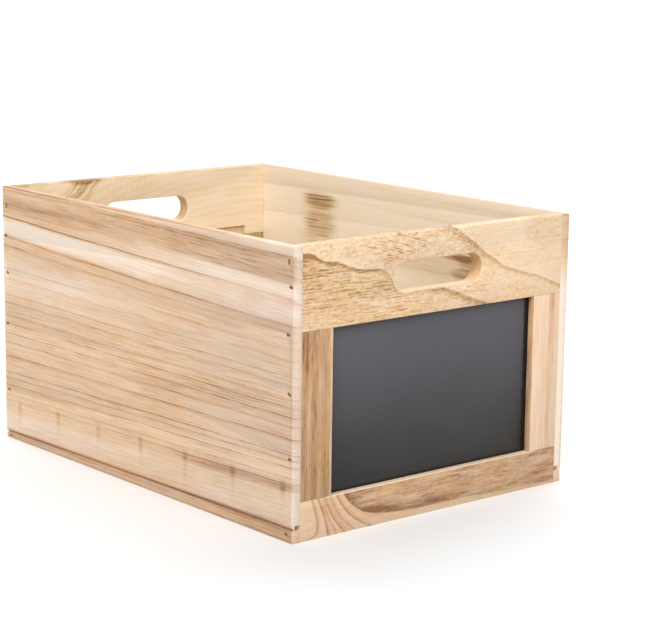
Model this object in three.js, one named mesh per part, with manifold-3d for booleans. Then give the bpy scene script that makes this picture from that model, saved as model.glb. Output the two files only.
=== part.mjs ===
// A wooden storage box with a chalkboard panel in each end.
//
// Millimetres, +Z up. The origin is on the floor at the centre of the footprint.
// The two long side panels stand at -X (left) and +X (right) and cover the ends of the two end
// frames, which stand at -Y (front) and +Y (back). Each end frame is two rails and two stiles,
// doweled at their butt joints, round a thin painted board. A plywood bottom lies in a rabbet
// along each side panel and in a groove along each lower rail. A strip under each side panel
// closes the rabbet from below and carries the bottom. The panel's tongue laps over the strip's
// outer face, further towards the back. Brads through the sides hold the corners.

import * as THREE from 'three';
import { mergeVertices } from 'three/addons/utils/BufferGeometryUtils.js';
import Module from 'manifold-3d';

const wasm = await Module();
wasm.setup();

// Outside of the box
const boxLength = 350;
const boxWidth = 250;
const boxHeight = 195;

// Side panels, and the strips that they stand on
const sideThickness = 7;
const tongueThickness = 2.7; // wood left outside the rabbet for the bottom
const lowerArrisShare = 0.8; // bevel along a panel's outer lower edge, as a share of that tongue
const stripHeight = 8.5;
const stripInset = 0.4; // the strip's outer face, behind the panel's
const seamFallShare = 0.53; // how far the seam between them falls to the back, of the strip's height

// Bottom
const bottomThickness = 3;
const endGrooveDepth = 4.3;

// End frames
const endThickness = 11;
const topRailHeight = 55.5;
const bottomRailHeight = 27;
const stileWidth = 26;
const boardThickness = 3;
const boardSetback = 5; // from the frame's outer face to the board
const boardLap = 7; // how far the board reaches behind each frame member

// Hand holes, a slot with round ends in each upper rail
const handHoleLength = 81;
const handHoleHeight = 20.5;
const handHoleDrop = 29; // from the rim to the slot's centre
const handHoleEase = 0.8;
const handHoleArcSteps = 12;

// Eased edges
const rimEase = 0.8;
const cornerEase = 0.8;

// Dowels across the joints between rails and stiles
const dowelRadius = 2.5;
const dowelLength = 20;
const dowelEase = 0.5;
const dowelSides = 16;

// Brads
const bradShankRadius = 0.6;
const bradHeadRadius = 1.05;
const bradHeadThickness = 0.5;
const bradPoint = 1.5;
const bradBite = 8.5; // how far a brad goes into the end frame
const bradSink = 0.3; // how far its head is driven below the face
const bradToDowel = 1.9; // wood left between a brad's point and the dowel
const bradSides = 8;

// Each corner's brads: height up the upper rail, the stile or the bottom strip as a share of that
// piece's height, and distance from the box's end as a share of the end frame's thickness
const frontBradShares = {
  rail: [[0.82, 0.47], [0.53, 0.25]],
  stile: [[0.985, 0.48], [0.64, 0.34], [0.26, 0.25]],
  strip: [[0.62, 0.59]],
};
const backBradShares = {
  rail: [[0.74, 0.45], [0.33, 0.36]],
  stile: [[0.91, 0.5], [0.56, 0.41], [0.1, 0.45]],
  strip: [[0.25, 0.55]],
};

// Clearances
const glueLine = 0.1; // between faces that are glued
const panelPlay = 0.3; // round a board that floats in its rabbet or groove
const fastenerPlay = 0.15; // round a dowel or a brad
const overrun = 4; // how far a cutter runs past the face it opens

// Finishes
const sideColour = 0xd3ab86;
const topRailColour = 0xdcb88c;
const lowerRailColour = 0xcfa67b;
const leftStileColour = 0xb48f68;
const rightStileColour = 0xdcbd9c;
const stripColour = 0xc79d76;
const plywoodColour = 0xe0c6a0;
const chalkboardColour = 0x45464a;
const dowelColour = 0xd9bd92;
const steelColour = 0x6c6663;
const woodRoughness = 0.7;
const boardRoughness = 0.55;
const steelRoughness = 0.45;

const halfLength = boxLength / 2;
const halfWidth = boxWidth / 2;
const innerHalfWidth = halfWidth - sideThickness;
const frameHalfWidth = innerHalfWidth - glueLine;
const openingHalfWidth = innerHalfWidth - stileWidth;
const topRailFoot = boxHeight - topRailHeight;
const openingHeight = topRailFoot - bottomRailHeight;
const panelFoot = stripHeight + glueLine;
const seamSlope = seamFallShare * stripHeight / boxLength;
const bottomUnderside = stripHeight + glueLine;
const bottomTop = bottomUnderside + bottomThickness;
const rabbetTop = bottomTop + panelPlay;
const bradLength = sideThickness + bradBite;
const dowelFromEnd = bradBite + bradSink + bradToDowel + dowelRadius;
const dowelX = innerHalfWidth - dowelFromEnd;

const sides = { left: -1, right: 1 };
const ends = { front: -1, back: 1 };

// Turns a closed geometry into a solid, and a solid back into a geometry

function solidOf(geometry) {
  const bare = geometry.index ? geometry.toNonIndexed() : geometry.clone();
  bare.deleteAttribute('normal');
  bare.deleteAttribute('uv');
  const merged = mergeVertices(bare);
  return new wasm.Manifold(new wasm.Mesh({
    numProp: 3,
    vertProperties: new Float32Array(merged.attributes.position.array),
    triVerts: new Uint32Array(merged.index.array),
  }));
}

function geometryOf(solid) {
  const mesh = solid.getMesh();
  const geometry = new THREE.BufferGeometry();
  geometry.setAttribute('position', new THREE.BufferAttribute(mesh.vertProperties, mesh.numProp));
  geometry.setIndex(new THREE.BufferAttribute(mesh.triVerts, 1));
  geometry.computeVertexNormals();
  return geometry;
}

function cutAll(solid, cutters) {
  return cutters.reduce((rest, cutter) => rest.subtract(cutter), solid);
}

// Basic solids in the box's frame

function block(x, y, z) {
  const geometry = new THREE.BoxGeometry(x[1] - x[0], y[1] - y[0], z[1] - z[0]);
  geometry.translate((x[0] + x[1]) / 2, (y[0] + y[1]) / 2, (z[0] + z[1]) / 2);
  return solidOf(geometry);
}

// A block in an end frame, with its depth counted inward from the frame's outer face
function endBlock(end, x, depth, z) {
  const y = depth.map((d) => end * (halfLength - d)).sort((a, b) => a - b);
  return block(x, y, z);
}

// A prism along one axis: the outline's two coordinates go to the next two axes
function prism(outline, length, toRight, toUp, along) {
  const shape = new THREE.Shape(outline.map(([a, b]) => new THREE.Vector2(a, b)));
  const geometry = new THREE.ExtrudeGeometry(shape, { depth: length, bevelEnabled: false });
  geometry.translate(0, 0, -length / 2);
  geometry.applyMatrix4(new THREE.Matrix4().makeBasis(toRight, toUp, along));
  return solidOf(geometry);
}

const axisX = new THREE.Vector3(1, 0, 0);
const axisY = new THREE.Vector3(0, 1, 0);
const axisZ = new THREE.Vector3(0, 0, 1);

function prismAlongX(outlineYZ, length) {
  return prism(outlineYZ, length, axisY, axisZ, axisX);
}

function prismAlongY(outlineXZ, length) {
  return prism(outlineXZ, length, axisX, axisZ, axisY.clone().negate());
}

function prismAlongZ(outlineXY, length) {
  return prism(outlineXY, length, axisX, axisY, axisZ);
}

// Dowels stand upright across the joints, at both ends of every stile

function turned(profile, steps) {
  const points = profile.map(([radius, height]) => new THREE.Vector2(radius, height));
  return new THREE.LatheGeometry(points, steps);
}

function dowelGeometry() {
  const half = dowelLength / 2;
  return turned([
    [0, -half],
    [dowelRadius - dowelEase, -half],
    [dowelRadius, dowelEase - half],
    [dowelRadius, half - dowelEase],
    [dowelRadius - dowelEase, half],
    [0, half],
  ], dowelSides).rotateX(Math.PI / 2);
}

function dowelHole(side, end, jointZ) {
  const radius = dowelRadius + fastenerPlay;
  const half = dowelLength / 2 + panelPlay;
  const geometry = turned([[0, -half], [radius, -half], [radius, half], [0, half]], dowelSides);
  geometry.rotateX(Math.PI / 2);
  geometry.translate(...dowelPlace(side, end, jointZ));
  return solidOf(geometry);
}

function dowelPlace(side, end, jointZ) {
  return [side * dowelX, end * (halfLength - endThickness / 2), jointZ];
}

function dowelHoles(side, end) {
  return [dowelHole(side, end, topRailFoot), dowelHole(side, end, bottomRailHeight)];
}

// Brads are turned about their own axis, with the head outward along the local +Y

function bradProfile(play) {
  const shank = bradShankRadius + play;
  const head = bradHeadRadius + play;
  const neck = -bradHeadThickness - play;
  return [
    [0, -bradLength - play],
    [shank, bradPoint - bradLength - play],
    [shank, neck],
    [head, neck],
  ];
}

function bradGeometry() {
  return turned([...bradProfile(0), [bradHeadRadius, 0], [0, 0]], bradSides);
}

function bradHole(brad) {
  const mouth = bradSink + overrun;
  const profile = [...bradProfile(fastenerPlay), [bradHeadRadius + fastenerPlay, mouth], [0, mouth]];
  const geometry = turned(profile, bradSides);
  geometry.rotateZ(brad.turn);
  geometry.translate(...brad.place);
  return solidOf(geometry);
}

function bradAt(name, side, end, fromEnd, z, faceInset) {
  const x = side * (halfWidth - faceInset - bradSink);
  return { name, side, end, turn: -side * Math.PI / 2, place: [x, end * (halfLength - fromEnd), z] };
}

function cornerBrads(sideName, endName) {
  const side = sides[sideName];
  const end = ends[endName];
  const shares = end < 0 ? frontBradShares : backBradShares;
  const heldBy = [
    { shares: shares.rail, foot: topRailFoot, height: topRailHeight, faceInset: 0 },
    { shares: shares.stile, foot: bottomRailHeight, height: openingHeight, faceInset: 0 },
    { shares: shares.strip, foot: 0, height: stripHeight, faceInset: stripInset },
  ];
  const places = heldBy.flatMap(({ shares: list, foot, height, faceInset }) => list.map(
    ([heightShare, depthShare]) => [depthShare * endThickness, foot + heightShare * height, faceInset],
  ));
  return places.map(([fromEnd, z, faceInset], index) => bradAt(
    `brad_${endName}_${sideName}_${index + 1}`, side, end, fromEnd, z, faceInset,
  ));
}

const brads = Object.keys(ends).flatMap(
  (endName) => Object.keys(sides).flatMap((sideName) => cornerBrads(sideName, endName)),
);

function bradHoles(side, end) {
  return brads.filter((brad) => brad.side === side && (!end || brad.end === end)).map(bradHole);
}

// Side panels and strips

function cornerBevel(side, end) {
  const x = side * halfWidth;
  const y = end * halfLength;
  const outline = [
    [x + side * overrun, y + end * overrun],
    [x - side * cornerEase, y + end * overrun],
    [x - side * cornerEase, y],
    [x, y - end * cornerEase],
    [x + side * overrun, y - end * cornerEase],
  ];
  const cutter = prismAlongZ(outline, boxHeight + overrun + overrun);
  return cutter.translate([0, 0, boxHeight / 2]);
}

// Lets what lies below a height fall evenly towards the back
function fallingBelow(height, solid) {
  return solid.warp((point) => {
    if (point[2] < height) point[2] -= seamSlope * (point[1] + halfLength);
  });
}

function sidePanel(side) {
  const lowerArris = lowerArrisShare * tongueThickness;
  const outline = [
    [0, panelFoot + lowerArris],
    [0, boxHeight - rimEase],
    [rimEase, boxHeight],
    [sideThickness - rimEase, boxHeight],
    [sideThickness, boxHeight - rimEase],
    [sideThickness, rabbetTop],
    [tongueThickness, rabbetTop],
    [tongueThickness, panelFoot],
    [lowerArris, panelFoot],
  ].map(([depth, z]) => [side * (halfWidth - depth), z]);
  const cutters = [cornerBevel(side, ends.front), cornerBevel(side, ends.back), ...bradHoles(side)];
  return cutAll(fallingBelow(bottomTop, prismAlongY(outline, boxLength)), cutters);
}

// What the panel's tongue takes out of a strip's outer face
function tongueLap(side) {
  const outline = [
    [-overrun, stripHeight],
    [-overrun, stripHeight + overrun],
    [tongueThickness + glueLine, stripHeight + overrun],
    [tongueThickness + glueLine, stripHeight],
  ].map(([depth, z]) => [side * (halfWidth - depth), z]);
  return fallingBelow(panelFoot, prismAlongY(outline, boxLength + overrun + overrun));
}

function bottomStrip(side) {
  const outline = [
    [stripInset, rimEase],
    [stripInset, stripHeight],
    [sideThickness, stripHeight],
    [sideThickness, 0],
    [stripInset + rimEase, 0],
  ].map(([depth, z]) => [side * (halfWidth - depth), z]);
  const cutters = [
    tongueLap(side),
    cornerBevel(side, ends.front),
    cornerBevel(side, ends.back),
    ...bradHoles(side),
  ];
  return cutAll(prismAlongY(outline, boxLength), cutters);
}

function bottomPanel() {
  const halfX = halfWidth - tongueThickness - panelPlay;
  const halfY = halfLength - endThickness + endGrooveDepth - panelPlay;
  return block([-halfX, halfX], [-halfY, halfY], [bottomUnderside, bottomTop]);
}

// End frames

function boardRecess(end) {
  const halfX = openingHalfWidth + boardLap;
  const z = [bottomRailHeight - boardLap, topRailFoot + boardLap];
  return endBlock(end, [-halfX, halfX], [boardSetback, endThickness + overrun], z);
}

function chalkboard(end) {
  const halfX = openingHalfWidth + boardLap - panelPlay;
  const z = [bottomRailHeight - boardLap + panelPlay, topRailFoot + boardLap - panelPlay];
  const front = boardSetback + glueLine;
  return endBlock(end, [-halfX, halfX], [front, front + boardThickness], z);
}

function handHoleShape() {
  const radius = handHoleHeight / 2;
  const reach = handHoleLength / 2 - radius;
  const shape = new THREE.Shape();
  shape.absarc(-reach, 0, radius, Math.PI / 2, Math.PI * 3 / 2, false);
  shape.absarc(reach, 0, radius, -Math.PI / 2, Math.PI / 2, false);
  return shape;
}

// The slot itself runs through the rail, and a flared mouth at each face eases its edge
function handHoleCutters(end) {
  const shape = handHoleShape();
  const middle = end * (halfLength - endThickness / 2);
  const height = boxHeight - handHoleDrop;
  const depth = endThickness + overrun;
  const slot = new THREE.ExtrudeGeometry(shape, {
    depth, bevelEnabled: false, curveSegments: handHoleArcSteps,
  });
  slot.translate(0, 0, -depth / 2).rotateX(Math.PI / 2).translate(0, middle, height);
  const mouths = [0, Math.PI].map((turn) => {
    const mouth = new THREE.ExtrudeGeometry(shape, {
      depth: overrun,
      bevelThickness: handHoleEase,
      bevelSize: handHoleEase,
      bevelSegments: 1,
      curveSegments: handHoleArcSteps,
    });
    mouth.translate(0, 0, endThickness / 2).rotateX(Math.PI / 2).rotateZ(turn);
    return mouth.translate(0, middle, height);
  });
  return [slot, ...mouths].map(solidOf);
}

function topRail(end) {
  const outline = [
    [0, topRailFoot],
    [0, boxHeight - rimEase],
    [rimEase, boxHeight],
    [endThickness - rimEase, boxHeight],
    [endThickness, boxHeight - rimEase],
    [endThickness, topRailFoot],
  ].map(([depth, z]) => [end * (halfLength - depth), z]);
  const cutters = [
    boardRecess(end),
    ...handHoleCutters(end),
    ...dowelHoles(sides.left, end),
    ...dowelHoles(sides.right, end),
    ...bradHoles(sides.left, end),
    ...bradHoles(sides.right, end),
  ];
  return cutAll(prismAlongX(outline, frameHalfWidth * 2), cutters);
}

function bottomRail(end) {
  const rail = endBlock(
    end, [-frameHalfWidth, frameHalfWidth], [0, endThickness], [0, bottomRailHeight],
  );
  const groove = endBlock(
    end, [-innerHalfWidth, innerHalfWidth],
    [endThickness - endGrooveDepth, endThickness + overrun],
    [bottomUnderside - glueLine, rabbetTop],
  );
  const cutters = [
    boardRecess(end),
    groove,
    ...dowelHoles(sides.left, end),
    ...dowelHoles(sides.right, end),
    ...bradHoles(sides.left, end),
    ...bradHoles(sides.right, end),
  ];
  return cutAll(rail, cutters);
}

function stile(side, end) {
  const x = [side * openingHalfWidth, side * frameHalfWidth].sort((a, b) => a - b);
  const z = [bottomRailHeight + glueLine, topRailFoot - glueLine];
  const cutters = [boardRecess(end), ...dowelHoles(side, end), ...bradHoles(side, end)];
  return cutAll(endBlock(end, x, [0, endThickness], z), cutters);
}

// Assembly

function finish(color, roughness, metalness) {
  return new THREE.MeshStandardMaterial({ color, roughness, metalness, flatShading: true });
}

const sideWood = finish(sideColour, woodRoughness, 0);
const topRailWood = finish(topRailColour, woodRoughness, 0);
const lowerRailWood = finish(lowerRailColour, woodRoughness, 0);
const leftStileWood = finish(leftStileColour, woodRoughness, 0);
const rightStileWood = finish(rightStileColour, woodRoughness, 0);
const stripWood = finish(stripColour, woodRoughness, 0);
const plywood = finish(plywoodColour, woodRoughness, 0);
const chalkPaint = finish(chalkboardColour, boardRoughness, 0);
const dowelWood = finish(dowelColour, woodRoughness, 0);
const steel = finish(steelColour, steelRoughness, 1);

function piece(name, geometry, material) {
  const mesh = new THREE.Mesh(geometry, material);
  mesh.name = name;
  return mesh;
}

function sideGroup(sideName) {
  const side = sides[sideName];
  const group = new THREE.Group();
  group.add(piece(`side_panel_${sideName}`, geometryOf(sidePanel(side)), sideWood));
  group.add(piece(`bottom_strip_${sideName}`, geometryOf(bottomStrip(side)), stripWood));
  return group;
}

function endGroup(endName) {
  const end = ends[endName];
  const group = new THREE.Group();
  group.add(piece(`${endName}_top_rail`, geometryOf(topRail(end)), topRailWood));
  group.add(piece(`${endName}_bottom_rail`, geometryOf(bottomRail(end)), lowerRailWood));
  const left = geometryOf(stile(sides.left, end));
  const right = geometryOf(stile(sides.right, end));
  group.add(piece(`${endName}_stile_left`, left, leftStileWood));
  group.add(piece(`${endName}_stile_right`, right, rightStileWood));
  group.add(piece(`${endName}_chalkboard`, geometryOf(chalkboard(end)), chalkPaint));
  return group;
}

function dowelGroup() {
  const group = new THREE.Group();
  const geometry = dowelGeometry();
  const joints = { top: topRailFoot, bottom: bottomRailHeight };
  for (const [endName, end] of Object.entries(ends)) {
    for (const [sideName, side] of Object.entries(sides)) {
      for (const [jointName, jointZ] of Object.entries(joints)) {
        const dowel = piece(`dowel_${endName}_${sideName}_${jointName}`, geometry, dowelWood);
        dowel.position.set(...dowelPlace(side, end, jointZ));
        group.add(dowel);
      }
    }
  }
  return group;
}

function bradGroup() {
  const group = new THREE.Group();
  const geometry = bradGeometry();
  for (const brad of brads) {
    const mesh = piece(brad.name, geometry, steel);
    mesh.rotation.z = brad.turn;
    mesh.position.set(...brad.place);
    group.add(mesh);
  }
  return group;
}

const box = new THREE.Group();
box.add(sideGroup('left'), sideGroup('right'));
box.add(piece('bottom_panel', geometryOf(bottomPanel()), plywood));
box.add(endGroup('front'), endGroup('back'));
box.add(dowelGroup(), bradGroup());

export default box;
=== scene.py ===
# %% [markdown]
# # A wooden storage box with a chalkboard panel
#
# This lesson dresses a small wooden box for a studio picture. The box's construction is already
# settled: two long side panels cover two end frames, and each end frame is two rails and two
# stiles round a thin painted board. Here every board is modelled again with soft edges, joint
# lines, drilled holes and a finish of its own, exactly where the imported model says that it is.
#
# The lengths below are written in millimetres times `MM`, because Blender works in metres. `HAIR`
# is how near a point has to lie to a face to count as lying on it.

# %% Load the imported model
import math

import bpy
import bmesh
from mathutils import Matrix, Vector


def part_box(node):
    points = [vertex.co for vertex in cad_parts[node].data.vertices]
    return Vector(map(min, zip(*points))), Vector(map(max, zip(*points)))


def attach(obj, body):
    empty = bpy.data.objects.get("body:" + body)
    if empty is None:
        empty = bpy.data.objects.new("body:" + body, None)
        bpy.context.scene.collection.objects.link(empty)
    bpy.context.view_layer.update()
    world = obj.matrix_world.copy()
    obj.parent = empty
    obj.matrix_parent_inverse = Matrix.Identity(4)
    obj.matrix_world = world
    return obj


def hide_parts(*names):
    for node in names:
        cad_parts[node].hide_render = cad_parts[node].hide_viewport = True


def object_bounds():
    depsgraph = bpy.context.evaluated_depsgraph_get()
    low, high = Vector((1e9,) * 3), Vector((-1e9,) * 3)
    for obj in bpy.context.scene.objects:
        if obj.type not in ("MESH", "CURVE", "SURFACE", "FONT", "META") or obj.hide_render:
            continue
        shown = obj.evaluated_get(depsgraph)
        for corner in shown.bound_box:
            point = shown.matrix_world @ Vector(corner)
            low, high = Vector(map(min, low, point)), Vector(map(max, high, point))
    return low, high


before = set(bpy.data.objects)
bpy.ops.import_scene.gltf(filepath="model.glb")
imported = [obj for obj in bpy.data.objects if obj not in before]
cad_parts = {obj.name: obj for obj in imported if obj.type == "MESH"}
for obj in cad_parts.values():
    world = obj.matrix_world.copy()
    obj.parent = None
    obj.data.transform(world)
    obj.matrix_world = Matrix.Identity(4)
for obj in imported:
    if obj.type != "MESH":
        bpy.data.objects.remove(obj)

MM = 0.001
HAIR = 0.1 * MM
cad_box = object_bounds()
LENGTH = cad_box[1][1] - cad_box[0][1]
WIDTH = cad_box[1][0] - cad_box[0][0]
HEIGHT = cad_box[1][2] - cad_box[0][2]
print(f"box {LENGTH / MM:.0f} x {WIDTH / MM:.0f} x {HEIGHT / MM:.0f} mm, {len(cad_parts)} nodes")

# %% [markdown]
# ## Where the joints are
#
# The frame knows where each board lies, so the sizes that the boards share are read from it and
# not typed again: how thick a side is, how wide a stile is, where the rails end. Only what a
# board's outer box can't tell, such as the depth of a rabbet, gets a value of its own.

# %% Sizes read from the frame
SIDES = {"left": -1, "right": 1}
ENDS = {"front": -1, "back": 1}

panel_low, panel_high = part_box("side_panel_right")
rail_low, rail_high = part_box("front_top_rail")
lower_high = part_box("front_bottom_rail")[1]
stile_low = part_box("front_stile_right")[0]
board_low, board_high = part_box("front_chalkboard")
strip_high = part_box("bottom_strip_right")[1]
bottom_low, bottom_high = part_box("bottom_panel")

HALF_LENGTH = LENGTH / 2
HALF_WIDTH = WIDTH / 2
SIDE_THICKNESS = panel_high.x - panel_low.x
END_THICKNESS = rail_high.y - rail_low.y
OPENING_HALF = stile_low.x
TOP_RAIL_FOOT = rail_low.z
LOWER_RAIL_TOP = lower_high.z

GLUE_LINE = 0.1 * MM
PLAY = 0.3 * MM
PANEL_FOOT = strip_high.z + GLUE_LINE
SEAM_FALL = PANEL_FOOT - panel_low.z
TONGUE = HALF_WIDTH - bottom_high.x - PLAY
BOARD_SETBACK = board_low.y - rail_low.y - GLUE_LINE
BOARD_LAP = board_high.x - OPENING_HALF + PLAY
GROOVE_DEPTH = bottom_high.y + PLAY - (HALF_LENGTH - END_THICKNESS)
OVERRUN = 4 * MM
print(f"tongue {TONGUE / MM:.2f}, setback {BOARD_SETBACK / MM:.2f}, groove {GROOVE_DEPTH / MM:.2f} mm")
print(f"the seam above a strip falls {SEAM_FALL / MM:.2f} mm from front to back")

# %% [markdown]
# ## Hand tools
#
# Modelling by operators is like working at a bench: one thing is clamped (the active object), one
# part of it is marked (the selection), and each operator works on what is marked. These small
# helpers clear the bench, mark edges and faces by where they are, and fix a modifier into the
# mesh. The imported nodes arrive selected, so nothing starts before everything is deselected.

# %% Clamp a piece, and make a block


def clear_bench():
    """Leaves edit mode and deselects everything."""
    if bpy.context.object and bpy.context.object.mode != "OBJECT":
        bpy.ops.object.mode_set(mode="OBJECT")
    bpy.ops.object.select_all(action="DESELECT")


def clamp(piece):
    """Makes piece the only selected and the active object."""
    clear_bench()
    piece.select_set(True)
    bpy.context.view_layer.objects.active = piece
    return piece


def fix_place(piece):
    """Moves an object's place, turn and size into its mesh."""
    clamp(piece)
    bpy.ops.object.transform_apply(location=True, rotation=True, scale=True)
    return piece


def add_block(name, low, high):
    """A cube primitive stretched between two corners."""
    low, high = Vector(low), Vector(high)
    clear_bench()
    bpy.ops.mesh.primitive_cube_add(size=1, location=(low + high) / 2)
    block = bpy.context.object
    block.name = name
    block.scale = high - low
    return fix_place(block)


# %% Mark a part of a piece by where it is, and round it


def mark(piece, kind, test):
    """Goes into edit mode and selects the faces, edges or vertices that pass the test."""
    clamp(piece)
    bpy.ops.object.mode_set(mode="EDIT")
    mode = {"faces": "FACE", "edges": "EDGE", "verts": "VERT"}[kind]
    bpy.ops.mesh.select_all(action="DESELECT")
    bpy.ops.mesh.select_mode(type=mode)
    mesh = bmesh.from_edit_mesh(piece.data)
    found = [part for part in getattr(mesh, kind) if test(part)]
    for part in found:
        part.select_set(True)
    mesh.select_flush_mode()
    bmesh.update_edit_mesh(piece.data)
    return len(found)


def middle(edge):
    """The point half way along an edge."""
    return (edge.verts[0].co + edge.verts[1].co) / 2


def run(edge):
    """The direction of an edge, as lengths along X, Y and Z."""
    return [abs(edge.verts[1].co[axis] - edge.verts[0].co[axis]) for axis in range(3)]


def soften(piece, test, width, segments=3):
    """Rounds the edges that pass the test."""
    if mark(piece, "edges", test):
        bpy.ops.mesh.bevel(offset=width, segments=segments, profile=0.5, affect="EDGES")
    clear_bench()
    return piece


# %% Shape a piece with modifiers, and extrude a profile


def apply_modifier(piece, kind, **settings):
    """Adds a modifier and fixes what it does into the mesh."""
    clamp(piece)
    modifier = piece.modifiers.new(kind.title(), kind)
    for name, value in settings.items():
        setattr(modifier, name, value)
    bpy.ops.object.modifier_apply(modifier=modifier.name)
    return piece


def cut_away(piece, cutter):
    """Takes the cutter's shape out of the piece, and keeps the cutter's own material on the cut."""
    return apply_modifier(
        piece, "BOOLEAN", operation="DIFFERENCE", object=cutter, solver="EXACT", material_mode="INDEX"
    )


def use_up(piece, *cutters):
    """Takes each shape out of the piece, and throws the shape away."""
    for cutter in cutters:
        cut_away(piece, cutter)
        bpy.data.objects.remove(cutter)
    return piece


def extrude_profile(name, points, axis, start, end):
    """A board planed to a profile: its end section is filled, then extruded along an axis."""
    across = [other for other in range(3) if other != axis]
    clear_bench()
    bpy.ops.mesh.primitive_circle_add(vertices=len(points), radius=MM, fill_type="NGON")
    board = bpy.context.object
    board.name = name
    for vertex, point in zip(board.data.vertices, points):
        place = [0, 0, 0]
        place[axis] = start
        place[across[0]], place[across[1]] = point
        vertex.co = place
    mark(board, "faces", lambda face: True)
    along = [0, 0, 0]
    along[axis] = end - start
    bpy.ops.mesh.extrude_region_move(TRANSFORM_OT_translate={"value": along})
    bpy.ops.mesh.select_all(action="SELECT")
    bpy.ops.mesh.normals_make_consistent(inside=False)
    clear_bench()
    return board


def finish_edges(piece, width):
    """Breaks every sharp edge that is left, as a light sanding does, and shades the flats flat."""
    sharp = math.radians(30)
    apply_modifier(
        piece, "BEVEL", width=width, segments=2, limit_method="ANGLE",
        angle_limit=sharp, harden_normals=False, use_clamp_overlap=True,
    )
    clamp(piece)
    bpy.ops.object.shade_smooth_by_angle(angle=sharp)
    return piece


# %% [markdown]
# ## Brads and their holes
#
# A brad is a thin headed nail that a gun drives below the surface. Each one could be a cylinder,
# but its head and the torn slot round it are what one sees, so both are cut from a small block:
# the block is the head, its inner face is inset and pulled out into the shank, and the end is
# drawn to a point. The same steps, a little larger, give the slot that it sits in. One brad is
# modelled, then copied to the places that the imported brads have. Each copy is twisted a little
# differently, as a gun held by hand leaves them, and the left side's two topmost stand upright.

# %% Model one brad and the slot that it is driven into
BRAD_LENGTH = 15.5 * MM
BRAD_SHANK = 1.2 * MM
HEAD_LONG = 2.3 * MM
HEAD_SHORT = 1.3 * MM
HEAD_THICK = 0.5 * MM
HEAD_EASE = 0.12 * MM
POINT_LENGTH = 1.5 * MM
POINT_SHARE = 0.2
SLOT_LONG = 3.4 * MM
SLOT_SHORT = 1.9 * MM
SLOT_DEEP = 0.55 * MM
SLOT_CORNER = 0.3 * MM
DRILL_PLAY = 0.15 * MM


def add_brad(name, long, short, top, bottom, play):
    """A headed nail along Z, its shank downwards, made from one block."""
    brad = add_block(name, (-long / 2, -short / 2, bottom), (long / 2, short / 2, top))
    mark(brad, "faces", lambda face: face.normal.z < -0.9)
    shank = BRAD_SHANK + 2 * play
    bpy.ops.mesh.extrude_region_move(TRANSFORM_OT_translate={"value": (0, 0, 0)})
    bpy.ops.transform.resize(value=(shank / long, shank / short, 1))
    down = bottom + BRAD_LENGTH - POINT_LENGTH + play
    bpy.ops.mesh.extrude_region_move(TRANSFORM_OT_translate={"value": (0, 0, -down)})
    bpy.ops.mesh.extrude_region_move(TRANSFORM_OT_translate={"value": (0, 0, -POINT_LENGTH)})
    bpy.ops.transform.resize(value=(POINT_SHARE, POINT_SHARE, 1))
    clear_bench()
    return brad


first_brad = add_brad("brad", HEAD_LONG, HEAD_SHORT, 0, -HEAD_THICK, 0)
apply_modifier(first_brad, "BEVEL", width=HEAD_EASE, segments=2, limit_method="ANGLE")
first_slot = add_brad("slot", SLOT_LONG, SLOT_SHORT, OVERRUN, -SLOT_DEEP, DRILL_PLAY)
soften(first_slot, lambda edge: run(edge)[2] > OVERRUN and run(edge)[0] < HAIR, SLOT_CORNER)
print("brad", len(first_brad.data.polygons), "faces, slot", len(first_slot.data.polygons), "faces")

# %% Copy them to every packed brad
UPRIGHT_TWIST = 10
LEVEL_TWIST = 84
TWIST_SPREAD = 14
TWIST_STEP = 2.4


def copy_piece(piece, name):
    """A copy with its own mesh."""
    copy = piece.copy()
    copy.data = piece.data.copy()
    copy.name = name
    bpy.context.scene.collection.objects.link(copy)
    return copy


def place_brad(piece, side, turn, head):
    """Turns a brad outward, twists it about its own length and sets its head in place."""
    outward = Matrix.Rotation(side * math.pi / 2, 4, "Y")
    piece.matrix_world = Matrix.Translation(head) @ outward @ Matrix.Rotation(turn, 4, "Z")
    return fix_place(piece)


brads, slots = [], []
brad_names = sorted(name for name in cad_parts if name.startswith("brad_"))
for number, node in enumerate(brad_names):
    low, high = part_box(node)
    side = SIDES[node.split("_")[2]]
    head = Vector((high.x if side > 0 else low.x, (low.y + high.y) / 2, (low.z + high.z) / 2))
    twist = UPRIGHT_TWIST if node.endswith("left_1") else LEVEL_TWIST
    turn = math.radians(twist + TWIST_SPREAD * math.sin(number * TWIST_STEP))
    brads.append(place_brad(copy_piece(first_brad, node.replace("brad", "pin")), side, turn, head))
    slots.append(place_brad(copy_piece(first_slot, f"slot_{number}"), side, turn, head))
    brads[-1]["node"] = node
for spare in (first_brad, first_slot):
    bpy.data.objects.remove(spare)
print(len(brads), "brads placed")

# %% [markdown]
# ## Holes for the dowels
#
# A dowel crosses each joint between a rail and a stile. It never shows once the box is glued up,
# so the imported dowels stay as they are, and only their holes are cut. All the drills, for dowels
# and brads alike, are joined into one cutter, so each board is drilled once. The cutter's faces
# carry the number of a board's second material, which the walls of the holes then take from it.

# %% Make one cutter of all the drills
DRILL_VERTICES = 24
BRUISED = 1

drills = []
for node in sorted(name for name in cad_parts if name.startswith("dowel_")):
    low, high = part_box(node)
    clear_bench()
    bpy.ops.mesh.primitive_cylinder_add(
        vertices=DRILL_VERTICES, radius=(high.x - low.x) / 2 + DRILL_PLAY,
        depth=high.z - low.z + 2 * PLAY, location=(low + high) / 2,
    )
    drills.append(fix_place(bpy.context.object))
clear_bench()
for part in drills + slots:
    part.select_set(True)
bpy.context.view_layer.objects.active = drills[0]
bpy.ops.object.join()
drill = bpy.context.object
drill.name = "drill"
for polygon in drill.data.polygons:
    polygon.material_index = BRUISED
print("drill", len(drill.data.polygons), "faces")

# %% Drill and sand a board
SANDING = 0.25 * MM


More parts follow.
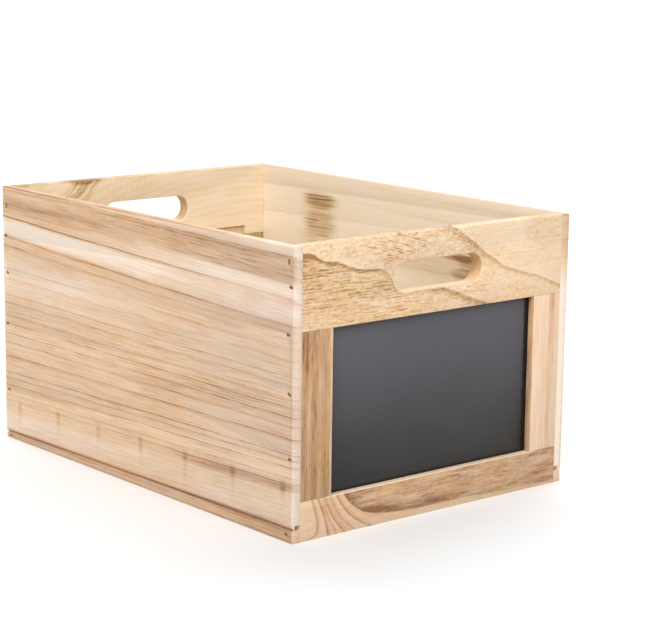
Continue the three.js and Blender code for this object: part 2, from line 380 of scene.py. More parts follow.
def drilled(board):
    """Drills a board and breaks its edges, which ends the work on it."""
    return finish_edges(cut_away(board, drill), SANDING)


# %% [markdown]
# ## The long side panels
#
# Each side is one planed board. Along its foot a rabbet is taken out of the inner half, where the
# thin bottom lies, and the thin tongue that is left has its outer arris planed off, which draws
# the dark line above the strip. A profile extruded along the board gives all of that at once, as
# a spindle moulder would. The board wasn't ripped quite straight, so the tongue laps further over
# the strip towards the back: the profile's lowest corners at that end are simply moved down, and
# a wedge tilted the same way is cut out of the strip. The rim and the corners are eased.

# %% Model the side panels
RIM_EASE = 0.8 * MM
CORNER_EASE = 0.8 * MM
CORNER_LEAST = 20 * MM
LOWER_ARRIS_SHARE = 0.8
RABBET_TOP = bottom_high.z + PLAY


def let_fall(piece, height, reach):
    """Tilts what lies below a height, so that it falls evenly from the front to the back."""
    for end in ENDS.values():
        mark(piece, "verts", lambda vert: vert.co.z < height and vert.co.y * end > 0)
        drop = SEAM_FALL * (end * reach + HALF_LENGTH) / LENGTH
        bpy.ops.transform.translate(value=(0, 0, -drop))
    clear_bench()
    return piece


def side_panel(side_name):
    """A long side: its profile extruded, its foot let fall, its rim and corners eased."""
    side = SIDES[side_name]
    arris = LOWER_ARRIS_SHARE * TONGUE
    depths = [
        (0, PANEL_FOOT + arris), (0, HEIGHT), (SIDE_THICKNESS, HEIGHT),
        (SIDE_THICKNESS, RABBET_TOP), (TONGUE, RABBET_TOP), (TONGUE, PANEL_FOOT), (arris, PANEL_FOOT),
    ]
    points = [(side * (HALF_WIDTH - depth), z) for depth, z in depths]
    panel = extrude_profile(f"side_board_{side_name}", points, 1, -HALF_LENGTH, HALF_LENGTH)
    let_fall(panel, RABBET_TOP - HAIR, HALF_LENGTH)
    soften(panel, lambda edge: middle(edge).z > HEIGHT - MM and run(edge)[1] > MM, RIM_EASE)
    outer = HALF_WIDTH - HAIR
    soften(panel, lambda edge: abs(middle(edge).x) > outer and run(edge)[2] > CORNER_LEAST, CORNER_EASE)
    return drilled(panel)


side_boards = {name: side_panel(name) for name in SIDES}
print({name: len(board.data.polygons) for name, board in side_boards.items()})

# %% Model the strips under them
STRIP_CORNER = 1.4 * MM
STRIP_CORNER_LEAST = 4 * MM


def bottom_strip(side_name):
    """A strip with rounded outer corners, and a falling lap for the panel's tongue."""
    side = SIDES[side_name]
    low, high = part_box(f"bottom_strip_{side_name}")
    strip = add_block(f"foot_strip_{side_name}", low, high)
    outer = max(abs(low.x), abs(high.x)) - HAIR
    soften(strip, lambda edge: abs(middle(edge).x) > outer and middle(edge).z < MM, RIM_EASE)
    soften(
        strip, lambda edge: abs(middle(edge).x) > outer and run(edge)[2] > STRIP_CORNER_LEAST,
        STRIP_CORNER, segments=4,
    )
    reach = HALF_LENGTH + OVERRUN
    lap_x = sorted(side * (HALF_WIDTH - depth) for depth in (-OVERRUN, TONGUE + GLUE_LINE))
    lap = add_block("lap", (lap_x[0], -reach, strip_high.z), (lap_x[1], reach, strip_high.z + OVERRUN))
    return drilled(use_up(strip, let_fall(lap, PANEL_FOOT, reach)))


foot_strips = {name: bottom_strip(name) for name in SIDES}
print({name: len(strip.data.polygons) for name, strip in foot_strips.items()})

# %% [markdown]
# ## The bottom
#
# The bottom is a thin sheet of plywood that lies loose in the rabbets and grooves. A block is its
# right shape. Its edges are hidden, and only the veneer inside and underneath shows.

# %% Model the bottom
SHEET_EASE = 0.2 * MM

bottom_sheet = finish_edges(add_block("bottom_sheet", bottom_low, bottom_high), SHEET_EASE)
print("bottom", [round(length / MM, 1) for length in bottom_high - bottom_low], "mm")

# %% [markdown]
# ## Rails and stiles
#
# Rails and stiles are the same stock, cut to length. The rabbet for the board is routed out of
# the assembled frame, so one block cuts it out of all four members. The hand hole is a slot: a
# cylinder is pulled apart at its middle, so its two halves become the round ends. After the cut,
# the slot's mouths are lightly rounded over on both faces, so they don't cut into a hand.

# %% Cutters for an end frame
HAND_HOLE_LENGTH = 81 * MM
HAND_HOLE_HEIGHT = 20.5 * MM
HAND_HOLE_DROP = 29 * MM
HAND_HOLE_EASE = 0.8 * MM
HAND_HOLE_VERTICES = 48


def frame_y(end, depth):
    """The Y of a depth counted inward from an end frame's outer face."""
    return end * (HALF_LENGTH - depth)


def end_block(name, end, x, depths, z):
    """A block whose depths are counted inward from an end frame's outer face."""
    low_y, high_y = sorted(frame_y(end, depth) for depth in depths)
    return add_block(name, (x[0], low_y, z[0]), (x[1], high_y, z[1]))


def board_rabbet(end):
    """What the router takes out of the frame for the chalkboard."""
    half = OPENING_HALF + BOARD_LAP
    z = (LOWER_RAIL_TOP - BOARD_LAP, TOP_RAIL_FOOT + BOARD_LAP)
    return end_block("rabbet", end, (-half, half), (BOARD_SETBACK, END_THICKNESS + OVERRUN), z)


def bottom_groove(end):
    """What the saw takes out of a lower rail for the bottom."""
    z = (bottom_low.z - GLUE_LINE, RABBET_TOP)
    depths = (END_THICKNESS - GROOVE_DEPTH, END_THICKNESS + OVERRUN)
    return end_block("groove", end, (-HALF_WIDTH, HALF_WIDTH), depths, z)


def slot_cutter(end):
    """The hand hole's shape: a cylinder whose halves are pulled apart.

    It is turned by half a step first, so that no corner of it lies where the halves part.
    """
    radius = HAND_HOLE_HEIGHT / 2
    clear_bench()
    bpy.ops.mesh.primitive_cylinder_add(
        vertices=HAND_HOLE_VERTICES, radius=radius, depth=END_THICKNESS + 2 * OVERRUN,
        rotation=(math.pi / 2, 0, 0),
    )
    slot = fix_place(bpy.context.object)
    half_step = math.pi / HAND_HOLE_VERTICES
    slot.rotation_euler = (0, half_step, 0)
    fix_place(slot)
    for side in SIDES.values():
        mark(slot, "verts", lambda vert: vert.co.x * side > 0)
        bpy.ops.transform.translate(value=(side * (HAND_HOLE_LENGTH / 2 - radius), 0, 0))
    clear_bench()
    slot.location = (0, frame_y(end, END_THICKNESS / 2), HEIGHT - HAND_HOLE_DROP)
    return fix_place(slot)


# %% Model the four rails


def on_mouth(edge, end, depth):
    """Whether an edge lies round the hand hole, on the face at that depth."""
    return all(
        abs(vert.co.x) < HAND_HOLE_LENGTH / 2 + PLAY
        and abs(vert.co.z - (HEIGHT - HAND_HOLE_DROP)) < HAND_HOLE_HEIGHT / 2 + PLAY
        and abs(vert.co.y - frame_y(end, depth)) < HAIR
        for vert in edge.verts
    )


def top_rail(end_name):
    """An upper rail, with its rim eased and its hand hole's mouths rounded over."""
    end = ENDS[end_name]
    rail = add_block(f"{end_name}_upper_rail", *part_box(f"{end_name}_top_rail"))
    soften(rail, lambda edge: middle(edge).z > HEIGHT - HAIR and run(edge)[0] > MM, RIM_EASE)
    use_up(rail, board_rabbet(end), slot_cutter(end))
    for depth in (0, END_THICKNESS):
        soften(rail, lambda edge: on_mouth(edge, end, depth), HAND_HOLE_EASE)
    return drilled(rail)


def bottom_rail(end_name):
    """A lower rail, with the board's rabbet and the bottom's groove."""
    end = ENDS[end_name]
    rail = add_block(f"{end_name}_lower_rail", *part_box(f"{end_name}_bottom_rail"))
    return drilled(use_up(rail, board_rabbet(end), bottom_groove(end)))


rails = {}
for end_name in ENDS:
    rails[f"{end_name}_top"] = top_rail(end_name)
    rails[f"{end_name}_bottom"] = bottom_rail(end_name)
print({name: len(rail.data.polygons) for name, rail in rails.items()})

# %% Model the four stiles


def stile(end_name, side_name):
    """An upright of an end frame, with the board's rabbet."""
    post = add_block(f"{end_name}_post_{side_name}", *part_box(f"{end_name}_stile_{side_name}"))
    return drilled(use_up(post, board_rabbet(ENDS[end_name])))


stiles = {(end_name, side_name): stile(end_name, side_name) for end_name in ENDS for side_name in SIDES}
bpy.data.objects.remove(drill)
print({"_".join(names): len(post.data.polygons) for names, post in stiles.items()})

# %% [markdown]
# ## The chalkboards
#
# Each board is a thin sheet of fibreboard, painted on the face that looks out and left bare on
# the face that looks into the box. The two faces get different materials, chosen by which way
# a face points.

# %% Model the chalkboards
BOARD_EASE = 0.15 * MM
PAINTED = 0
BARE = 1


def chalkboard(end_name):
    """A board whose outward face takes the paint, and all the rest the bare back."""
    board = add_block(f"{end_name}_slate", *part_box(f"{end_name}_chalkboard"))
    finish_edges(board, BOARD_EASE)
    for polygon in board.data.polygons:
        polygon.material_index = PAINTED if polygon.normal.y * ENDS[end_name] > 0.5 else BARE
    return board


chalkboards = {end_name: chalkboard(end_name) for end_name in ENDS}
print("boards set back", f"{BOARD_SETBACK / MM:.1f} mm, lapped", f"{BOARD_LAP / MM:.1f} mm")

# %% [markdown]
# ## Shader maths as Python
#
# A wood finish is mostly arithmetic: how far a point is from a growth ring, how strong a streak
# is there, how the two add up to a tone. Wiring that by hand takes hundreds of nodes. Instead a
# small class wraps a socket, and each Python operator on it adds the Math node that does the same,
# so a finish reads like its formula. Every other node comes from one method, `add`, which takes
# the node's type, its settings and its inputs. The same method serves the studio's sky later on.
# On top of these stand the few marks that all finishes are drawn with: noise, a fade from one
# value to another, a curve through given points, a soft oval, and colours laid along a tone.

# %% A socket that can be used in expressions


class Value:
    """A shader socket whose arithmetic is written as Python."""

    def __init__(self, nodes, socket):
        self.nodes = nodes
        self.socket = socket

    def maths(self, operation, *values):
        """Any Math node, with values or plain numbers at its sockets."""
        return self.nodes.add("Math", {"operation": operation}, dict(enumerate(values)))

    def __add__(self, other):
        return self.maths("ADD", self, other)

    def __radd__(self, other):
        return self.maths("ADD", other, self)

    def __sub__(self, other):
        return self.maths("SUBTRACT", self, other)

    def __rsub__(self, other):
        return self.maths("SUBTRACT", other, self)

    def __mul__(self, other):
        return self.maths("MULTIPLY", self, other)

    def __rmul__(self, other):
        return self.maths("MULTIPLY", other, self)

    def __truediv__(self, other):
        return self.maths("DIVIDE", self, other)

    def __pow__(self, power):
        return self.maths("POWER", self, power)

    def fract(self):
        return self.maths("FRACT", self)

    def floor(self):
        return self.maths("FLOOR", self)

    def size(self):
        return self.maths("ABSOLUTE", self)

    def most(self, other):
        return self.maths("MAXIMUM", self, other)

    def least(self, other):
        return self.maths("MINIMUM", self, other)


# %% A node tree that any node can be added to


class Nodes:
    """A node tree, of a material or of the world."""

    def __init__(self, tree):
        self.tree = tree

    def add(self, kind, settings=None, inputs=None, output=0):
        """Adds a node: its type, its settings, then values or links for its sockets."""
        node = self.tree.nodes.new("ShaderNode" + kind)
        for name, setting in (settings or {}).items():
            if name == "stops":
                self.set_stops(node.color_ramp, setting)
            elif name == "points":
                self.set_points(node.mapping, setting)
            else:
                setattr(node, name, setting)
        for name, value in (inputs or {}).items():
            self.put(node.inputs[name], value)
        return Value(self, node.outputs[output])

    def put(self, socket, value):
        """Links a value to a socket, or types a plain number or colour into it."""
        if isinstance(value, Value):
            self.tree.links.new(value.socket, socket)
        else:
            socket.default_value = value

    def set_stops(self, colour_ramp, stops):
        """Gives a colour ramp its places and colours."""
        colour_ramp.elements[0].position = stops[0][0]
        colour_ramp.elements[1].position = stops[-1][0]
        for place, _ in stops[1:-1]:
            colour_ramp.elements.new(place)
        for element, (_, colour) in zip(colour_ramp.elements, stops):
            element.color = colour

    def set_points(self, mapping, points):
        """Draws a curve through points whose places and heights run from 0 to 1."""
        line = mapping.curves[0]
        for place, height in points[1:-1]:
            line.points.new(place, height)
        line.points[0].location = points[0]
        line.points[-1].location = points[-1]
        mapping.update()

    def seen(self):
        """1 on what the camera, a gloss or clear glass looks at, 0 on what only lights the box."""
        kinds = ("Camera", "Glossy", "Transmission")
        camera, glossy, clear = (self.add("LightPath", output=f"Is {kind} Ray") for kind in kinds)
        return (camera + glossy + clear).least(1)


# %% A material


class Finish(Nodes):
    """One material, with a Principled shader at its end."""

    def __init__(self, name):
        self.material = bpy.data.materials.new(name)
        self.material.use_nodes = True
        super().__init__(self.material.node_tree)

    def millimetres(self):
        """Where the point is on the piece: three values, in millimetres in the box's frame."""
        place = self.add("TexCoord", output="Object")
        scaled = self.add("VectorMath", {"operation": "SCALE"}, {0: place, "Scale": 1 / MM})
        return [self.add("SeparateXYZ", None, {0: scaled}, axis) for axis in range(3)]

    def done(self, **values):
        """Sets the shader's sockets, such as Base_Color for Base Color, and gives the material."""
        shader = self.tree.nodes["Principled BSDF"]
        for name, value in values.items():
            self.put(shader.inputs[name.replace("_", " ")], value)
        print(self.material.name, "takes", len(self.tree.nodes), "nodes")
        return self.material


# %% Marks in space
SEED_STEPS = (7.3, 3.1)


def noise(point, sizes, seed, detail=2, roughness=0.55):
    """Cloudy noise from 0 to 1, about 0.5 on average, stretched to a size along each axis."""
    x, y, z = (value * (1 / size) for value, size in zip(point, sizes))
    nodes = point[0].nodes
    shifted = {0: x + seed * SEED_STEPS[0], 1: y + seed * SEED_STEPS[1], 2: z}
    vector = nodes.add("CombineXYZ", None, shifted)
    sockets = {"Vector": vector, "Scale": 1, "Detail": detail, "Roughness": roughness}
    return nodes.add("TexNoise", None, sockets)


def sway(point, sizes, seed, reach, detail=2):
    """The same noise about zero, at most about reach / 2 either way."""
    return (noise(point, sizes, seed, detail) - 0.5) * reach


def fade(value, start, end):
    """0 before start, 1 after end, smooth between them. It also runs backwards."""
    sockets = {"Value": value, "From Min": start, "From Max": end}
    return value.nodes.add("MapRange", {"interpolation_type": "SMOOTHSTEP"}, sockets)


def near(value, place, reach, core):
    """1 within core of a place, 0 past its reach."""
    return fade((value - place).size(), reach, core)


def spot(along, down, centre, reach):
    """A soft oval mark: 1 at its centre, 0 past its reach."""
    off_along = (along - centre[0]) * (1 / reach[0])
    off_down = (down - centre[1]) * (1 / reach[1])
    return fade(off_along * off_along + off_down * off_down, 1, 0.1)


def curve(value, points):
    """A curve drawn through points given in real units."""
    first, last = points[0][0], points[-1][0]
    lowest = min(height for _, height in points)
    span = max(height for _, height in points) - lowest
    shares = [((x - first) / (last - first), (y - lowest) / span) for x, y in points]
    share = (value - first) / (last - first)
    return value.nodes.add("FloatCurve", {"points": shares}, {"Value": share}) * span + lowest


# %% Colour and relief


def linear(colour):
    """A colour as it looks on screen, 0 to 255, as the linear values that a shader takes."""
    shares = [level / 255 for level in colour]
    return (*[((share + 0.055) / 1.055) ** 2.4 if share > 0.04 else share / 12.92 for share in shares], 1)


def ramp(value, colours):
    """Colours at even steps from 0 to 1."""
    last = len(colours) - 1
    stops = [(index / last, linear(colour)) for index, colour in enumerate(colours)]
    return value.nodes.add("ValToRGB", {"stops": stops}, {0: value})


def blend(factor, first, second):
    """The first colour where the factor is 0, the second where it is 1."""
    return factor.nodes.add("Mix", {"data_type": "RGBA"}, {0: factor, 6: first, 7: second}, 2)


def bump(height, strength, distance):
    """Relief that shows in the light and leaves the shape as it is."""
    return height.nodes.add("Bump", None, {"Strength": strength, "Distance": distance, "Height": height})


# %% [markdown]
# ## Wood
#
# Real boards are cut out of a log, so one drawing of the growth rings runs through the whole
# thickness of a board and comes out at its ends. A picture wrapped round a board can't do that.
# So each board's finish is worked out in space, in millimetres along the grain, down the board's
# face and into its thickness. A tone from 0, pale, to 1, dark, is built up from the figure of
# that board, then from long streaks, fine fibres and the short dark vessels that this open
# timber shows, and a palette turns the tone into colour. A figure also returns how open its
# vessels are, and its level, which is how far down the log's own layers the point lies, so that
# streaks and fibres run along the rings and not dead straight through them. No board is of one
# hue, so a last noise turns each patch a few degrees towards pink or yellow, and another makes it
# stronger or greyer. The numbers in a figure are places and sizes in millimetres and shares of
# tone, and the whole number after a noise's sizes is its seed.
#
# Most boards that face the air on one side and the inside of the box on the other get two
# palettes. Outside, sun has warmed and deepened the wood. Inside it has kept the colour of the
# fresh cut. The skin is how far from the box's middle, in millimetres, one passes into the other.

# %% Where the grain runs, and what several figures are drawn with
ROW_STEP = 5.3


def grain_place(finish, grain):
    """The point along the grain, down from the rim or across, and into the thickness."""
    x, y, z = finish.millimetres()
    down = HEIGHT / MM - z
    return {"X": (x, down, y), "Y": (y, down, x), "Z": (z, x, y), "FLAT": (x, y, z)}[grain]


def ring_edge(count, sharpness):
    """Dark just past each whole count, fading until the next, as late wood gives way to early."""
    return (1 - count.fract()) ** sharpness


def strokes(along, level, deep, pitch, length, swell, seed):
    """Rows of wavy broken lines along the grain, as rows of open vessels draw them."""
    row = (level + sway((along, level, deep), (length, 2.2 * pitch, 9), seed, swell, 1)) / pitch
    line = near(row.fract(), 0.5, 0.38, 0.08)
    breaks = noise((along, row.floor() * ROW_STEP, deep), (length, 1, 14), seed + 1, 1)
    return line * fade(breaks, 0.38, 0.6)


def flecked(point, level, bend, length, contrast, seed):
    """Short dark and pale flecks along the grain, about zero, in rows that bend this way and that."""
    along, _, deep = point
    bent = level + sway(point, (11, 7, 9), seed, bend)
    return sway((along, bent, deep), (length, 1.1, 2), seed + 1, contrast, 3)


def side_ends(along):
    """1 on the end grain of the long sides, and less on the arrises beside it."""
    end = HALF_LENGTH / MM
    return fade(along.size(), end - 0.8, end - 0.1)


def shaded_rim(down, strength):
    """More tone on the rim: painted shade that holds back the light on the top edges."""
    return fade(down, 0.9, 0.3) * strength


# %% What turns a figure into a finish
PLAIN_SPECULAR = 0.3
STREAK_SIZES = (150, 4.5, 7)
FIBRE_SIZES = (26, 0.95, 1.3)
VESSEL_SIZES = (7, 0.75, 0.9)
BLUSH_SIZES = (26, 6, 9)
HUE_REACH = 0.038
STRENGTH_REACH = 0.5
HANDLED_GREYER = 0.13
HANDLED_DARKER = 0.04


def tinted(finish, point, colour, seed, handled):
    """The colour a little pinker here, yellower or greyer there, and greyer where it is handled."""
    hue = 0.5 + sway(point, BLUSH_SIZES, seed + 3, HUE_REACH, 3)
    strength = 1 + sway(point, BLUSH_SIZES, seed + 4, STRENGTH_REACH, 3) - handled * HANDLED_GREYER
    value = 1 - handled * HANDLED_DARKER
    sockets = {"Hue": hue, "Saturation": strength, "Value": value, "Color": colour}
    return finish.add("HueSaturation", None, sockets)


def wood(
    name, grain, palette, figure, seed, inside=None, vessel=0.2, fibre=0.5, streak=0.2, handled=None
):
    """A board's finish: its own figure, then streaks, fibres and vessels, then the palette."""
    finish = Finish(name)
    along, down, deep = grain_place(finish, grain)
    tone, openness, level = figure(along, down, deep)
    point = (along, level, deep)
    streaks = noise(point, STREAK_SIZES, seed, 3)
    fibres = noise(point, FIBRE_SIZES, seed + 1, 3, 0.65)
    vessels = fade(noise(point, VESSEL_SIZES, seed + 2, 2, 0.6), 0.55, 0.7) * openness
    tone = tone + (streaks - 0.5) * streak + (fibres - 0.5) * fibre + vessels * vessel
    colour = ramp(tone, palette)
    if inside:
        inner_palette, skin = inside
        colour = blend(fade(deep.size(), *skin), ramp(tone, inner_palette), colour)
    return finish.done(
        Base_Color=tinted(finish, point, colour, seed, handled(along) if handled else 0),
        Roughness=0.62 + vessels * 0.12,
        Specular_IOR_Level=PLAIN_SPECULAR,
        Normal=bump(fibres * 0.5 - vessels, 0.35, 0.12 * MM),
    )


# %% [markdown]
# ## The left side
#
# The left side is quarter-sawn at its upper edge, so its rings run nearly straight along the
# board, fanning a little towards the near end. Two curves hold that: one gives the slope of the
# rings at each height, and one counts the rings down the board. The count's fraction then draws
# every ring at once. Slow patches of tone come from two more curves, for the far and near ends.
# The foot of the board was close to the bark, where the wood is pale and crossed by a soft ripple
# every few centimetres, with a brown stain where each ripple starts. The last ring runs just
# under the rim, as a fine dark line on the outer face alone.

# %% Colours and curves of the left side
LEFT_PALETTE = [(253, 234, 214), (244, 213, 184), (231, 195, 159), (211, 169, 130), (168, 122, 85)]
FRESH_SIDE = [(246, 234, 217), (236, 221, 197), (223, 205, 176), (197, 168, 130), (144, 108, 72)]
SIDE_SKIN = (118.2, 118.9)
LEFT_SLOPE = [(0, 0.021), (10, 0.022), (21, 0.04), (28, 0.03), (33, 0.03), (38, 0.044), (45, 0.043),
              (51, 0.034), (60, 0.014), (98, 0.003), (118, -0.008), (143, -0.021), (156, -0.028),
              (195, -0.02)]
LEFT_RINGS = [(-20, 0), (4.4, 1), (28.5, 2), (38.3, 3), (41.5, 4), (45.3, 5), (51.8, 6), (63.8, 7),
              (71.5, 8), (76.3, 9), (83.2, 10), (89, 11), (98.6, 12), (104.6, 13), (111.2, 14),
              (117.7, 15), (127, 16), (138.6, 17), (142.8, 18), (148.2, 19), (156, 20), (160, 21),
              (168, 22), (176, 23), (215, 25)]
LEFT_STRENGTH = [(0, 0.2), (1, 0.4), (2, 0.95), (3, 0.25), (4, 0.3), (5, 1), (6, 0.45), (7, 0.32),
                 (8, 0.36), (9, 0.28), (10, 0.5), (12, 0.45), (13, 0.36), (15, 0.45), (17, 0.65),
                 (18, 0.7), (19, 0.55), (20, 0.5), (21, 0.4), (22, 0.1), (25, 0.1)]
LEFT_FAR_TONE = [(0, 0.26), (6, 0.3), (12, 0.46), (19, 0.62), (25, 0.54), (28.4, 0.42), (30, 0.02),
                 (33, -0.12), (39, -0.08), (43, 0.1), (46, 0.42), (51, 0.42), (58, 0.24), (65, 0.1),
                 (75, 0.2), (92, 0.34), (105, 0.4), (140, 0.43), (160, 0.4), (168, 0.28), (176, 0.12),
                 (184, 0.2), (195, 0.45)]
LEFT_NEAR_TONE = [(0, 0.36), (4, 0.44), (8, 0.54), (13, 0.6), (18, 0.44), (22, 0.06), (27, 0.08),
                  (31, 0.2), (42, 0.2), (47, 0.5), (57, 0.5), (66, 0.48), (75, 0.44), (88, 0.4),
                  (100, 0.5), (110, 0.58), (122, 0.44), (134, 0.44), (150, 0.44), (157, 0.42),
                  (163, 0.58), (167, 0.36), (176, 0.32), (184, 0.4), (195, 0.5)]
print(len(LEFT_RINGS), "rings marked on the left side")

# %% The left side's foot and crown
RIPPLE_PITCH = 53.4
RIPPLE_FIRST = 155.0
STAIN_LEVEL = 164
CROWN_DEPTH = 3.4
CROWN_SLOPE = 0.0207


def above_seam(along, down):
    """How far the point lies above the seam over the strip, which falls towards the back."""
    seam_at_front = (HEIGHT - PANEL_FOOT) / MM
    return seam_at_front + (along + HALF_LENGTH / MM) * (SEAM_FALL / LENGTH) - down


def foot_ripples(point, level):
    """A soft ripple across the foot at every pitch, with a stain where it starts."""
    away = (((RIPPLE_FIRST - point[0]) / RIPPLE_PITCH + 0.5).fract() - 0.5).size() * RIPPLE_PITCH
    foot = fade(level, 156, 163) * fade(level, 190, 172)
    stain = near(level, STAIN_LEVEL, 9, 2)
    uneven = noise(point, (38, 60, 60), 8) + 0.35
    return fade(away, 4.5, 0.4) * (foot * 0.1 + stain * 0.17) * uneven


def crown_ring(along, down, wander):
    """The last ring below the rim, a fine dark line with a slightly paler strip above it."""
    below = down + wander * 0.3 + along * CROWN_SLOPE - CROWN_DEPTH
    return fade(below.size(), 1.2, 0.2) * 0.27 - fade(below, 0, -0.8) * 0.03


# %% Finish for the left side


def left_rings(along, level, deep, wander):
    """Every ring from one count down the board, and finer lines between the rings."""
    count = curve(level, LEFT_RINGS)
    broken = 0.35 + 1.2 * noise((along, count, deep), (48, 0.8, 60), 5)
    frayed = 1 - fade(along, -50, -140) * near(level, 38, 20, 10) * 0.5
    rings = ring_edge(count, 8) * curve(count, LEFT_STRENGTH) * broken * frayed * 0.8
    return rings, ring_edge(count * 3.1 + wander, 6) * 0.16


def left_figure(along, down, deep):
    """The left side's rings, its pale and dark bands, its ripples and its crown."""
    point = (along, down, deep)
    wander = sway(point, (90, 26, 30), 11, 2.2)
    inward = HALF_WIDTH / MM - deep.size()
    outer = fade(inward, 3.5, 0.4)
    level = down + wander + along * curve(down, LEFT_SLOPE) - inward * 0.2
    rings, fine = left_rings(along, level, deep, wander)
    nearer = fade(along, 110, -110)
    tone = curve(level, LEFT_FAR_TONE) * (1 - nearer) + curve(level, LEFT_NEAR_TONE) * nearer
    patches = sway((along, level, deep), (75, 12, 40), 3, 0.4)
    crowded = near(level, 12, 12, 5).most(near(level, 100, 22, 12))
    lines = strokes(along, level, deep, pitch=2.3, length=26, swell=1.6, seed=6) * (0.06 + crowded * 0.09)
    browned = near(level, 162, 5.5, 1.5) * fade(along, -20, -110) * 0.2
    tone = tone * (0.55 + outer * 0.45) + patches + fine + lines + foot_ripples(point, level) + browned
    # Painted shade: darker on the chamfer just above the strip, which faces down, away from the light.
    arris = fade(above_seam(along, down), 4, 1.4) * 0.5
    lighter = 0.11 + fade(down, 115, 155) * 0.13 - fade(down, 60, 25) * 0.05
    tone = tone + (arris + crown_ring(along, down, wander)) * outer - side_ends(along) * lighter
    # Painted shade on the rim, left out near the front corner.
    tone = tone + shaded_rim(down, 0.6) * fade(along, -172, -30)
    return tone + rings, 0.25 + rings + patches.most(0), level


side_left_wood = wood(
    "side_wood_left", "Y", LEFT_PALETTE, left_figure, 1, (FRESH_SIDE, SIDE_SKIN), vessel=0.3, fibre=0.6,
    handled=lambda along: fade(along, -10, -130),
)

# %% [markdown]
# ## The right side
#
# From the front only the inner face of the right side shows. It is smooth and pale, with a
# scorched band near its far end, across which the grain shows as dark ripples, and some fainter
# dark marks nearer to the front, seen through the hand hole. The band is ragged because noise
# moves its edges, and two soft ovals make it darker in two places. All of it fades out inside the
# board, so the outer face is free of it and shows fine rings and fibres, as the left side does.

# %% Finish for the right side
RIGHT_PALETTE = [(251, 234, 214), (243, 216, 187), (231, 198, 163), (211, 172, 134), (168, 124, 88)]
SCORCH_PLACE = 92
SCORCHES = [((91, 21), (29, 8.5), 0.4), ((91, 40), (26, 12), 0.25)]
FRONT_MARKS = [((-72, 45.5), (25, 3.6), 0.34), ((-86, 46), (22, 12), 0.2), ((-80, 58), (22, 7), 0.22),
          ((-62, 54), (80, 24), 0.24)]


def right_figure(along, down, deep):
    """A pale board, smooth inside, with a browned and rippled band across its inner face."""
    point = (along, down, deep)
    level = down + sway(point, (120, 30, 30), 21, 6) - along * 0.02
    inner = fade(deep, 124.6, 120)
    rings = ring_edge(level * (1 / 13) + 0.4, 7) * noise((along, level, deep), (60, 9, 50), 22)
    patches = sway((along, level, deep), (90, 26, 40), 23, 0.06)
    ragged = along + sway(point, (24, 2.2, 30), 24, 15, 3)
    ripples = strokes(along, level, deep, pitch=2.7, length=40, swell=2.2, seed=25)
    band = near(ragged, SCORCH_PLACE, 29, 8) * fade(down, 13, 20) * 0.34
    for centre, reach, strength in SCORCHES:
        band = band + spot(ragged, down, centre, reach) * strength
    marks = band * (0.76 + ripples * 0.36)
    mottling = noise(point, (34, 1.5, 30), 26, 3) * 2.2 - 0.1
    for centre, reach, strength in FRONT_MARKS:
        marks = marks + spot(along, down, centre, reach) * mottling * strength
    end_grain = side_ends(along) * (0.24 - fade(down, 60, 20) * 0.6)
    # Painted shade on the rim, strongest on the outer face.
    rim = shaded_rim(down, fade(deep, 122, 124) * 0.6 + 0.4)
    outer = fade(deep, 124, 124.8)
    fibres = sway((along, level, deep), FIBRE_SIZES, 27, 0.5, 3)
    bands = sway((along, level, deep), (160, 9, 30), 28, 0.7, 3) + 0.05
    grain = (ring_edge(level * (1 / 4.4), 6) * 0.2 + fibres + bands + ripples * 0.12) * outer
    tone = 0.24 + patches + rings * (0.4 - inner * 0.28) + marks * inner + grain - end_grain + rim
    return tone, 0.12 + band + outer * 0.5, level


side_right_wood = wood(
    "side_wood_right", "Y", RIGHT_PALETTE, right_figure, 2, (FRESH_SIDE, SIDE_SKIN), fibre=0.24, streak=0.05
)

# %% [markdown]
# ## The front upper rail
#
# The front upper rail is flat-sawn, so two ring edges sweep right across it. Each edge is a curve:
# its depth below the rim at each place across the rail. An edge is dark and sharp above, where
# one year's growth stopped, and fades below it. Rows of open vessels follow just below the left
# one, smaller flecks fill the wood between the two, and fainter ones the pale corner on the right.
# The slot that was cut through the rail shows end grain at its two round ends, which is darker,
# and the upper half of each end is darker still: painted shade where it faces down.

# %% Colours and curves of the front upper rail
RAIL_PALETTE = [(253, 230, 198), (247, 216, 179), (233, 196, 156), (208, 169, 125), (164, 124, 80)]
FRESH_RAIL = [(241, 227, 203), (234, 212, 182), (219, 194, 157), (196, 163, 121), (150, 114, 76)]
END_SKIN = (166, 172)
LEFT_EDGE = [(-125, 3), (-119, 4.6), (-111, 6), (-100, 11), (-90, 13), (-77, 17.5), (-68, 19.5),
             (-59, 20.5), (-52, 21), (-47, 23), (-43, 27), (-38, 36), (-34, 38), (-15, 38.6),
             (5, 39.5), (12, 41.5), (20, 45), (30, 49), (40, 52), (49, 55), (75, 62), (125, 75)]
LEFT_EDGE_STRENGTH = [(-125, 0.5), (-60, 0.42), (-46, 0.2), (-14, 0.14), (-2, 0.36), (16, 0.34),
                      (49, 0.28), (125, 0.2)]
RIGHT_EDGE = [(-125, -48), (-60, -27), (-25, -14), (5, -4), (15, 0), (22, 4), (28, 8), (36, 13), (43, 19),
              (55, 26), (61, 30), (68, 32.5), (85, 37.5), (95, 40.5), (105, 44), (115, 48.5), (125, 52)]
RIGHT_EDGE_BREADTH = [(-125, 6), (15, 6), (32, 6.5), (45, 4.6), (60, 2.8), (125, 2.4)]
print(len(LEFT_EDGE), "and", len(RIGHT_EDGE), "points on the upper rail's two ring edges")

# %% The walls of the hand hole


def slot_wall(along, down, deep):
    """1 on the walls of the hand hole, between the rail's two faces."""
    reach, rise = HAND_HOLE_LENGTH / 2 / MM + 0.5, HAND_HOLE_HEIGHT / 2 / MM + 0.5
    half = END_THICKNESS / 2 / MM
    beside = fade(along.size(), reach + 0.5, reach)
    level_with = near(down, HAND_HOLE_DROP / MM, rise + 0.5, rise)
    return beside * level_with * near(deep.size(), HALF_LENGTH / MM - half, half - 0.3, half - 0.9)


